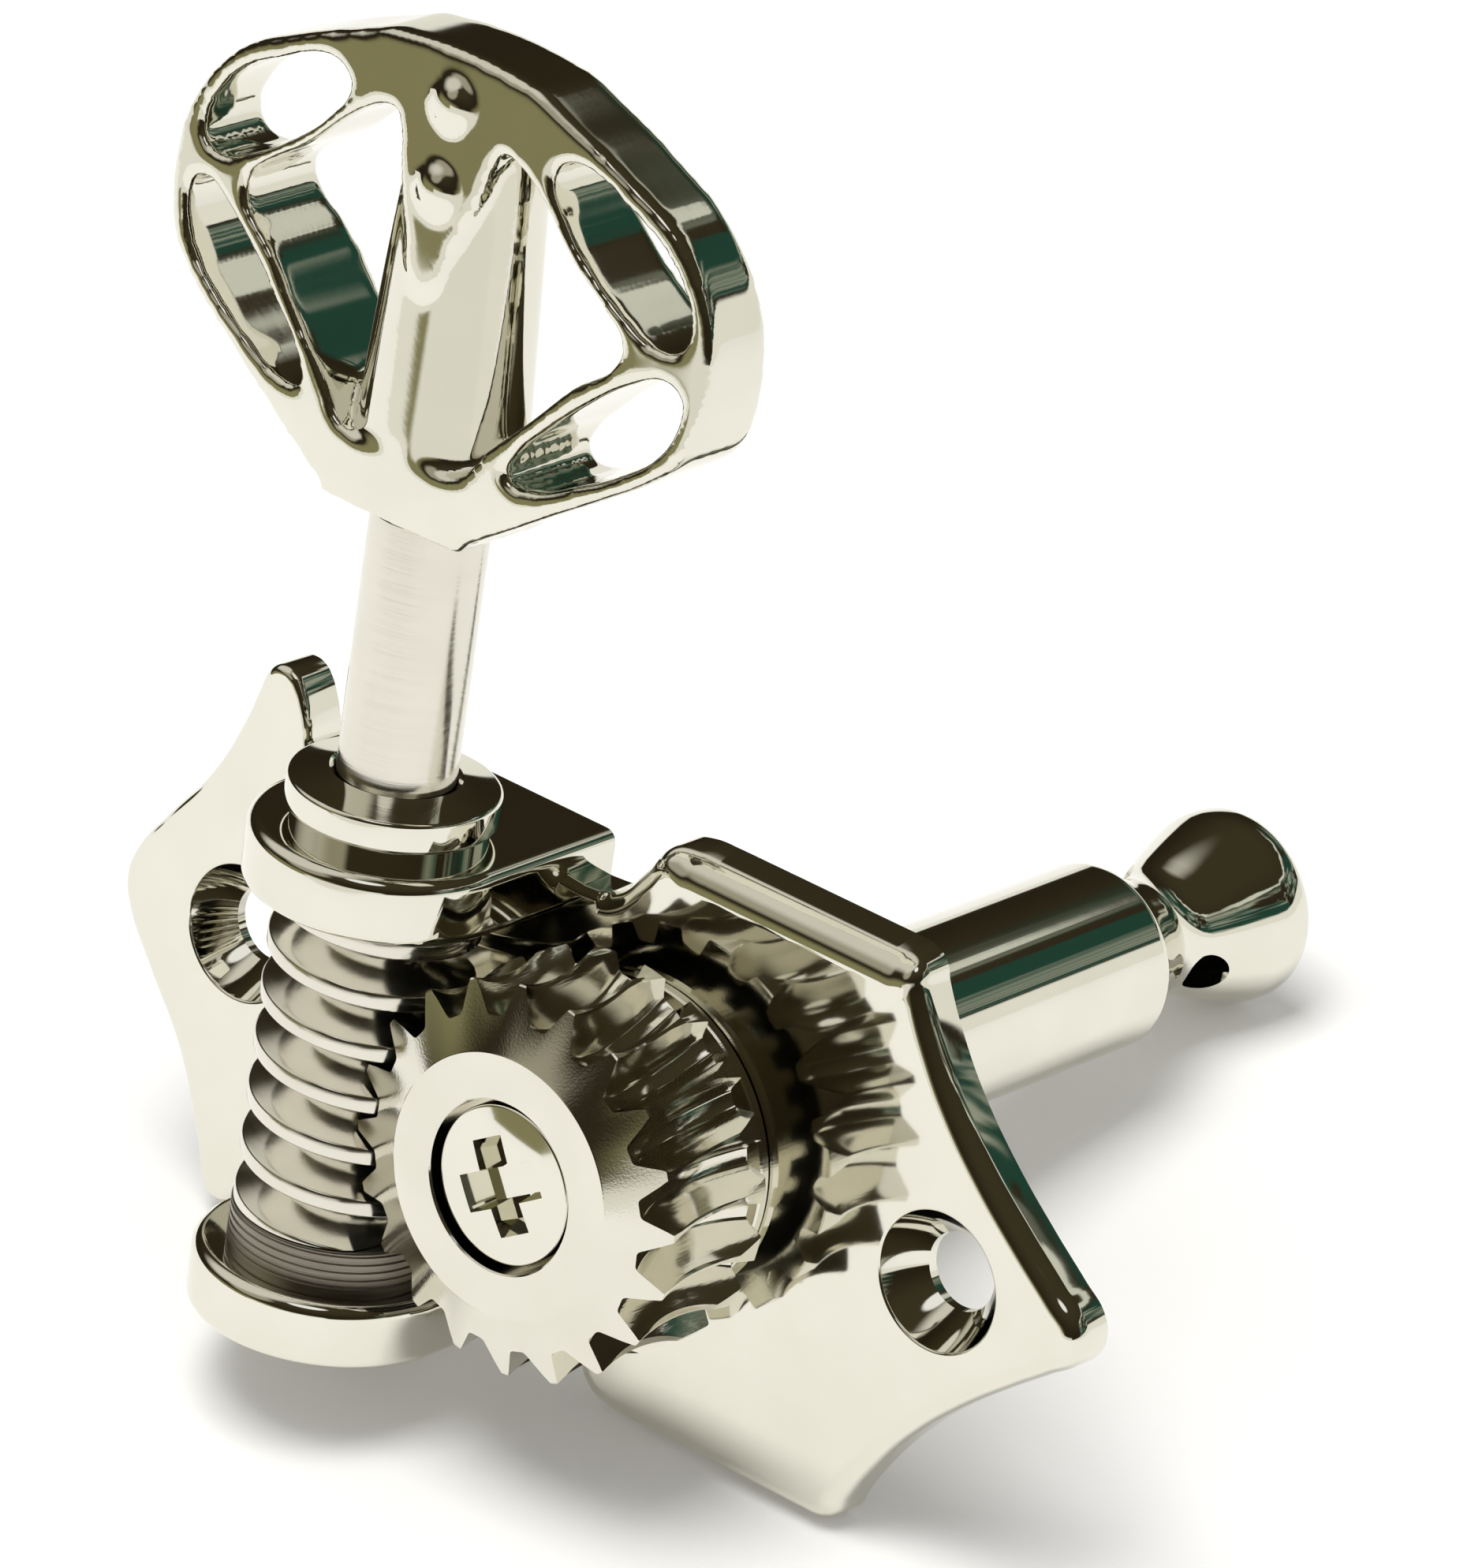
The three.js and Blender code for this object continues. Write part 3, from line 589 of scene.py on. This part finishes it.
# Upper bush. A flanged sleeve turned from brass and nickel plated, pressed into the upper ear, with a
# narrow neck and a broad collar whose top rises a little towards the shaft.
shaft_radius = 1.92 * mm
shaft_gap = 0.05 * mm
collar_radius = 3.42 * mm
collar_neck = 3.17 * mm
collar_low = 9.04 * mm
collar_high = 10.09 * mm
collar_peak = 10.39 * mm
collar_rim = 0.14 * mm
collar = [(shaft_radius + shaft_gap, ear_inner), (bush_bore - shaft_gap, ear_inner),
          (bush_bore - shaft_gap, ear_outer), (collar_neck, ear_outer), (collar_neck, collar_low)]
collar += rounded((collar_radius - collar_rim, collar_low), (collar_radius, collar_low + collar_rim), 0)
collar += rounded((collar_radius, collar_high - collar_rim), (collar_radius - collar_rim, collar_high), 1)
collar += [(shaft_radius + 4 * shaft_gap, collar_peak),
           (shaft_radius + shaft_gap, collar_peak - 2 * shaft_gap), (shaft_radius + shaft_gap, ear_inner)]
upper_bush = place(turned("collar_bush", collar, hollow=True), (worm_x, worm_y, 0))
polished(upper_bush, nickel, "plate", "upper_bush")

# Lower bush. A bearing sleeve turned from bronze and pressed into the lower ear, its colour darkened
# with painted shade under the worm. Its flange, which takes the worm's thrust, has turning grooves round
# it.
flange_radius = 3.4 * mm
flange_top = -4.85 * mm
flange_rim = 0.06 * mm
groove_count = 5
groove_pitch = (flange_top - flange_rim + ear_inner) / groove_count
groove_start, groove_floor, groove_end = 0.55, 0.7, 0.85

# Bronze, darkened with painted shade under the worm: the eye sees a grey brown with a wide soft shine,
# broken by the lathe's rings. They are drawn 0.1 mm wide, coarser than real ones, so that they show.
bush_bronze_and_shade = worked_metal("dark_bronze", ("9C958A", "7D766A"), roughness=0.32, marks_mm=0.1,
                      marks_depth_mm=0.002, drawn=(0.04, 0.04, 1))

flange = [(shaft_radius + shaft_gap, -ear_outer), (bush_bore - shaft_gap, -ear_outer),
          (bush_bore - shaft_gap, -ear_inner), (flange_radius, -ear_inner)]
for i in range(groove_count):
    low = i * groove_pitch - ear_inner
    flange += [(flange_radius, low + groove_start * groove_pitch),
               (flange_radius - flange_rim, low + groove_floor * groove_pitch),
               (flange_radius - flange_rim, low + groove_end * groove_pitch),
               (flange_radius, low + groove_pitch)]
flange += rounded((flange_radius, flange_top - flange_rim),
                  (flange_radius - flange_rim, flange_top), 1, 3)
flange += [(shaft_radius + shaft_gap, flange_top), (shaft_radius + shaft_gap, -ear_outer)]
lower_bush = place(turned("bearing_bush", flange, hollow=True), (worm_x, worm_y, 0))
polished(lower_bush, bush_bronze_and_shade, "plate", "lower_bush")

# Worm and shaft. Turned in one piece from steel and thinly nickel plated: a single left-handed thread
# under a plain shaft, which carries fine turning marks and ends in the button.
worm_pitch = 1.8 * mm
thread_radius = 3.35 * mm
thread_root = 1.72 * mm
thread_crest = 0.56 * mm
thread_edge = 0.07 * mm
flank_angle = math.radians(14.5)
crest_height = -0.34 * mm
worm_top = 6.25 * mm
worm_bottom = -4.8 * mm
shaft_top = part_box("worm")[1][2]
button_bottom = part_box("button")[0][2]
shaft_break = 0.15 * mm
shaft_tenon = 1.35 * mm
thread_turns = 8
thread_steps = 96
thread_seam = 0.003 * mm
cut_slack = 0.0001 * mm

# Turned steel under thin nickel: the eye sees a satin shine, broken by the lathe's rings round the
# shaft. They are drawn 0.14 mm wide, coarser than real ones, so that they show.
turned_nickel = worked_metal("turned_nickel", ("E6E3D9", "D8D4C8"), roughness=0.15, marks_mm=0.14,
                             marks_depth_mm=0.004, drawn=(0.03, 0.03, 1))

# Half of the thread's profile, from the root's middle up a hollow corner and the flank to the crest
crest_half = thread_crest / 2
root_half = crest_half + (thread_radius - thread_root) * math.tan(flank_angle)
root_curve = 0.3 * mm
thread_side = [(thread_root, worm_pitch / 2), (thread_root, root_half + root_curve),
               (thread_root + 0.1 * root_curve, root_half + 0.55 * root_curve),
               (thread_root + 0.45 * root_curve, root_half + 0.12 * root_curve),
               (thread_root + root_curve, root_half - root_curve * math.tan(flank_angle)),
               (thread_radius - thread_edge, crest_half + thread_edge * math.tan(flank_angle)),
               (thread_radius - 0.3 * thread_edge, crest_half - 0.3 * thread_edge),
               (thread_radius, crest_half - thread_edge)]
thread_profile = thread_side + [(r, -h) for r, h in reversed(thread_side)]
deselect()
bpy.ops.mesh.primitive_circle_add(vertices=len(thread_profile), radius=1 * mm)
worm = bpy.context.object
worm.name = "worm_shaft"
bpy.ops.object.mode_set(mode="EDIT")
shape = bmesh.from_edit_mesh(worm.data)
shape.verts.ensure_lookup_table()
for vertex, (radius, up) in zip(shape.verts, thread_profile):
    vertex.co = (radius, 0, crest_height + thread_turns / 2 * worm_pitch + up)
bmesh.update_edit_mesh(worm.data)

# The edge that closes the profile goes, and the rest winds up into the thread
choose(worm, "edges", lambda edge: abs(edge.verts[0].co.z - edge.verts[1].co.z) > 0.99 * worm_pitch)
bpy.ops.mesh.delete(type="EDGE")
bpy.ops.object.mode_set(mode="OBJECT")
winding = worm.modifiers.new("thread", "SCREW")
winding.screw_offset = -worm_pitch
winding.iterations = thread_turns
winding.steps = thread_steps
winding.render_steps = thread_steps
apply_all(worm)
bpy.ops.object.mode_set(mode="EDIT")
bpy.ops.mesh.select_all(action="SELECT")
bpy.ops.mesh.remove_doubles(threshold=thread_seam)
for limit, outer in ((worm_top, True), (worm_bottom, False)):
    bpy.ops.mesh.select_all(action="SELECT")
    bpy.ops.mesh.bisect(plane_co=(0, 0, limit), plane_no=(0, 0, 1), clear_outer=outer,
                        clear_inner=not outer, threshold=cut_slack)
bpy.ops.mesh.select_all(action="SELECT")
bpy.ops.mesh.fill_holes(sides=0)
bpy.ops.mesh.select_all(action="SELECT")
bpy.ops.mesh.normals_make_consistent(inside=False)
bpy.ops.object.mode_set(mode="OBJECT")
spindle = [(shaft_radius - shaft_break, -ear_outer), (shaft_radius, shaft_break - ear_outer),
           (shaft_radius, worm_bottom + 0.5 * shaft_break),
           (thread_root - shaft_break, worm_bottom + shaft_break),
           (thread_root - shaft_break, worm_top - shaft_break),
           (shaft_radius, worm_top - 0.5 * shaft_break), (shaft_radius, button_bottom - shaft_gap),
           (shaft_tenon, button_bottom - shaft_gap), (shaft_tenon, shaft_top)]
core = turned("spindle", spindle)
deselect()
core.select_set(True)
worm.select_set(True)
bpy.context.view_layer.objects.active = worm
bpy.ops.object.join()
place(worm, (worm_x, worm_y, 0))
polished(worm, turned_nickel, "worm", "worm")

# Thrust washer. A thin ring stamped from sheet and nickel plated. It lies loose between the plate and
# the wheel's hub, and keeps the turning wheel off the plate.
washer_low, washer_high = (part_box("wheel_washer")[i][0] for i in (0, 1))
washer_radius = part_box("wheel_washer")[1][1]
washer_edge = 0.06 * mm
journal_radius = 2.6 * mm

# Nickel over a cut surface: the eye sees a soft shine with the cutter's lines in it, which the plating
# doesn't fill. They are drawn 0.08 mm wide, coarser than real ones, so that they show.
cut_nickel = worked_metal("hobbed_nickel", ("E7E4D9", "DBD8CB"), roughness=0.09, marks_mm=0.08,
                          marks_depth_mm=0.0022, drawn=(0.04, 1, 1))

washer_profile = [(journal_radius, washer_low), (washer_radius - washer_edge, washer_low),
                  (washer_radius, washer_low + washer_edge), (washer_radius, washer_high - washer_edge),
                  (washer_radius - washer_edge, washer_high), (journal_radius, washer_high),
                  (journal_radius, washer_low)]
washer = place(turned("thrust_washer", washer_profile, hollow=True), (0, 0, 0), turn=(0, 90, 0))
polished(washer, cut_nickel, "plate", "wheel_washer")

# Worm wheel. Twenty teeth hobbed in a brass blank, with a cone from the teeth up to a flat boss, then
# nickel plated. The hob is wider than the worm, so each gash is hollow along its length and leaves
# the thread a little room. The wheel screw holds it on the post's tenon.
tooth_count = 20
tooth_angle = 360 / tooth_count
wheel_turn = 10.1
lead_angle = 6.41
tip_radius = 6.53 * mm
throat_radius = 6.25 * mm
throat_half = 1.75 * mm
boss_radius = 4.39 * mm
wheel_hub = 4.7 * mm
wheel_face, wheel_end = (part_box("worm_wheel")[i][0] for i in (0, 1))
wheel_rim = -7.56 * mm
wheel_back = -3.15 * mm
counterbore = 2.836 * mm
screw_seat = -6.785 * mm
post_fit = 2.0 * mm
burr = 0.05 * mm
throat = []
for share in (1, 0.8, 0.6, 0.4, 0.2, 0, -0.2, -0.4, -0.6, -0.8, -1):
    rise = share ** 2 * (tip_radius - throat_radius)
    throat.append((throat_radius + rise, worm_x - share * throat_half))
blank = [(counterbore, wheel_face + burr), (counterbore + burr, wheel_face),
         (boss_radius - burr, wheel_face), (boss_radius, wheel_face + 0.5 * burr),
         (tip_radius - burr, wheel_rim - burr)] + throat
blank += [(tip_radius, wheel_back - burr), (tip_radius - burr, wheel_back), (wheel_hub, wheel_back),
          (wheel_hub, wheel_end), (post_fit, wheel_end), (post_fit, screw_seat),
          (counterbore, screw_seat), (counterbore, wheel_face + burr)]
wheel = place(turned("gear_wheel", blank, segments=240, hollow=True), (0, 0, 0), turn=(0, 90, 0))

# The hob's edge, as pairs of the depth below its rim and half its width there, in millimetres. The
# rim cuts the floor of a tooth gap.
gash_radius = 4.3 * mm
gash_floor = 4.87 * mm
gash_depths = ((0.0, 0.2), (0.03, 0.28), (0.08, 0.33), (0.2, 0.4), (0.4, 0.51), (0.6, 0.62), (0.8, 0.73),
               (0.95, 0.83), (1.13, 0.93), (1.4, 0.93), (1.6, 0.96), (2.2, 1.2))
gash_side = [(gash_radius - depth * mm, half * mm) for depth, half in gash_depths]
gash_profile = [(r, -h) for r, h in reversed(gash_side)] + gash_side
hob = turned("hob", gash_profile, segments=128)
place(hob, (0, 0, 0), turn=(0, lead_angle, 0))
place(hob, (worm_x, gash_floor + gash_radius, 0))
for i in range(tooth_count):
    deselect()
    bpy.context.view_layer.objects.active = hob
    hob.select_set(True)
    bpy.ops.object.duplicate()
    gash = bpy.context.object
    place(gash, (0, 0, 0), turn=(wheel_turn + (i + 0.5) * tooth_angle, 0, 0))
    combine(wheel, gash, "DIFFERENCE")
bpy.data.objects.remove(hob)
polished(wheel, cut_nickel, "post", "worm_wheel", smooth_under=25)

# String post. Turned from steel and nickel plated: a straight barrel, a waist with the string's hole
# drilled across it, and a trumpet-shaped head that keeps the string on.
post_radius = 3.175 * mm
post_shoulder = 0.05 * mm
post_edge = 0.1 * mm
post_journal = 2.55 * mm
journal_end = -2.1 * mm
waist = (
    (3.175, 21.3), (3.165, 21.45), (3.12, 21.58), (3.04, 21.66), (2.9, 21.74), (2.76, 21.9),
    (2.62, 22.2), (2.45, 22.65), (2.22, 23.25), (2.06, 23.75), (1.99, 24.15), (1.98, 24.5),
    (2.04, 24.85), (2.16, 25.15), (2.35, 25.55), (2.6, 26.15), (2.86, 26.85), (3.08, 27.5),
    (3.2, 27.88), (3.27, 28.15), (3.3, 28.4), (3.3, 28.72), (3.28, 28.88), (3.22, 29.0),
    (3.12, 29.07), (2.98, 29.1),
)
post_profile = [(post_journal, journal_end), (post_journal, post_shoulder),
                (post_radius - post_edge, post_shoulder), (post_radius, post_shoulder + post_edge)]
post_profile += [(r * mm, x * mm) for r, x in waist]
post = place(turned("post", post_profile, segments=160), (0, 0, 0), turn=(0, 90, 0))
string_hole = 0.8 * mm
string_turn = 23
string_place = 25.2 * mm
drill_reach = 4 * mm
drill = turned("drill", [(string_hole, -drill_reach), (string_hole, drill_reach)], segments=64)
combine(post, place(drill, (string_place, 0, 0), turn=(90 + string_turn, 0, 0)), "DIFFERENCE")
polished(post, nickel, "post", "string_post", smooth_under=38)

# Wheel screw. A nickel-plated steel screw with a flat head, sunk in the wheel's counterbore with a
# dark gap round it. Its cross recess was punched, so the arms taper inwards.
screw_head = 2.62 * mm
screw_top = -8.3 * mm
screw_edge = 0.1 * mm
screw_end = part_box("wheel_screw")[1][0]
screw_dome = 0.2 * mm
screw_shank = 1.2 * mm
screw_profile = []
for share in (0.1, 0.25, 0.4, 0.55, 0.7, 0.85, 1):
    screw_profile.append((share * (screw_head - screw_edge), screw_top + share ** 2 * screw_dome))
screw_profile += rounded(screw_profile[-1], (screw_head, screw_top + screw_dome + screw_edge), 0)[1:]
screw_profile += [(screw_head, screw_seat), (screw_shank, screw_seat), (screw_shank, screw_end)]
screw = place(turned("cross_screw", screw_profile), (0, 0, 0), turn=(0, 90, 0))
cross_span = 3.3 * mm
cross_width = 1.26 * mm
cross_depth = 1.0 * mm
cross_turn = 31.5
cross_middle = 0.45 * cross_depth
cross_taper = (1, 0.8, 0.72)
for quarter in (0, 90):
    deselect()
    bpy.ops.mesh.primitive_cube_add(size=1, location=(cross_middle, 0, 0),
                                    scale=(cross_depth, cross_width, cross_span))
    arm = bpy.context.object
    settle()

    # The arm's end deep in the head is smaller
    bpy.ops.object.mode_set(mode="EDIT")
    choose(arm, "faces", lambda face: face.normal.x > 0.9)
    bpy.ops.transform.resize(value=cross_taper, center_override=(cross_depth, 0, 0))
    bpy.ops.object.mode_set(mode="OBJECT")
    place(arm, (screw_top, 0, 0), turn=(quarter - cross_turn, 0, 0))
    combine(screw, arm, "DIFFERENCE")
polished(screw, nickel, "post", "wheel_screw", smooth_under=25)

# Button. A zinc casting in bright nickel, fixed on the shaft's end: two wings with three windows in
# each, joined by a round spine, with a flat crest and two studs on each side at its top. It was cast
# in one piece and buffed, so its struts and edges are round and run into one another.
wing_depth = 2.4 * mm
crown_middle = 22 * mm
crown_reach = (15.9 * mm, 2.2 * mm, 17.1 * mm)
spine_foot = (3.15 * mm, 20 * mm)
spine_tip = (2.35 * mm, 33.5 * mm)
spine_depth = 0.73
stud_radius = 0.78 * mm
stud_rise = 0.36 * mm
stud_heights = (30.35 * mm, 33.05 * mm)
casting_grain = 0.118 * mm
buffing = 36
buffing_share = 0.5
skew_turn = (0.55, 0.3, 0.4)
button_side = (
    (1.0, 34.72, "smooth"), (3.1, 34.5, "sharp"), (4.3, 34.0, "smooth"), (5.6, 33.5, "smooth"),
    (7.05, 32.85, "smooth"), (8.7, 32.0, "smooth"), (9.7, 31.1, "smooth"), (10.4, 30.1, "smooth"),
    (10.85, 29.0, "smooth"), (11.0, 27.6, "smooth"), (10.9, 26.3, "smooth"), (10.5, 25.1, "smooth"),
    (9.4, 24.0, "smooth"), (8.0, 23.0, "smooth"), (6.2, 21.8, "smooth"), (4.6, 20.7, "smooth"),
    (3.4, 19.9, "smooth"), (2.95, 19.6, "sharp"), (2.9, 19.3, "sharp"),
)
top_window = (
    (4.2, 32.3), (4.7, 32.75), (5.6, 32.75), (7.3, 32.0), (8.7, 31.2), (9.7, 30.0), (10.0, 29.0),
    (9.75, 28.45), (9.1, 28.25), (7.6, 28.85), (6.1, 29.85), (4.9, 30.95),
)
low_window = (
    (4.3, 22.4), (4.5, 23.2), (5.4, 24.3), (6.7, 25.6), (8.2, 26.8), (9.4, 27.35), (10.1, 27.0),
    (10.1, 26.1), (9.6, 25.0), (8.4, 23.95), (6.9, 23.05), (5.2, 22.3),
)
middle_window = (
    (1.2, 32.1), (2.4, 32.2), (3.0, 32.0), (4.0, 31.3), (5.5, 29.85), (7.0, 28.75), (7.7, 28.0),
    (7.65, 27.35), (6.2, 26.05), (4.8, 24.45), (3.3, 22.85), (2.5, 21.8), (1.2, 21.6),
)
crest = ((2.2, 34.2), (3.4, 33.2), (2.35, 32.5), (1.9, 31.7), (1.62, 30.5), (1.0, 28.7), (0.2, 27.0))


def both_sides(points):
    """An outline's points down one side and back up the other."""
    return list(points) + [(-point[0],) + tuple(point[1:]) for point in reversed(points)]


def slab(name, points):
    """A flat solid across the button's plane, cut to an outline."""
    points = [(point + ("smooth",))[:3] for point in points]
    piece = wire(name, points, turn=(90, 0, 0), resolution=12)
    settle()
    filled(piece, (0, -2 * wing_depth, 0))
    bpy.ops.object.mode_set(mode="OBJECT")
    return place(piece, (0, wing_depth, 0))


button = slab("butterfly_button", both_sides(button_side))
cuts = [both_sides(middle_window)]
for window in (top_window, low_window):
    cuts += [window, [(-across, up) for across, up in window]]

# Each window's cutter is twice as deep as the slab, so that it cuts right through
for cut in cuts:
    window = slab("window", cut)
    window.scale = (1, 2, 1)
    settle()
    combine(button, window, "DIFFERENCE")
spine = turned("spine", [spine_foot, spine_tip], segments=96)
spine.scale = (1, spine_depth, 1)
settle()
combine(button, spine, "UNION")
combine(button, slab("crest", both_sides(crest)), "UNION")

# A shallow dome bounds the front and the back, and the studs stand on it
deselect()
bpy.ops.mesh.primitive_uv_sphere_add(segments=160, ring_count=96, radius=1, scale=crown_reach,
                                     location=(0, 0, crown_middle))
crown = bpy.context.object
settle()
combine(button, crown, "INTERSECT")
for height in stud_heights:
    rise = (height - crown_middle) / crown_reach[2]
    face = crown_reach[1] * math.sqrt(1 - rise ** 2)
    for side in (-1, 1):
        deselect()
        bpy.ops.mesh.primitive_uv_sphere_add(segments=48, ring_count=24, radius=1,
                                             location=(0, side * face, height),
                                             scale=(stud_radius, stud_rise, stud_radius))
        stud = bpy.context.object
        settle()
        combine(button, stud, "UNION")
button.data.materials.clear()

# The casting gets its skin while it is turned askew, so that no flat face lies along the skin's grid
# and shows it as steps
skew = Euler(skew_turn).to_matrix().to_4x4()
button.data.transform(skew)
casting = button.modifiers.new("casting", "REMESH")
casting.mode = "VOXEL"
casting.voxel_size = casting_grain
buffed = button.modifiers.new("buffing", "SMOOTH")
buffed.factor = buffing_share
buffed.iterations = buffing
apply_all(button)
button.data.transform(skew.inverted())
place(button, (worm_x, worm_y, 0), turn=(0, 0, 90))
polished(button, nickel, "worm", "button", smooth_under=180, flat_faces=False)
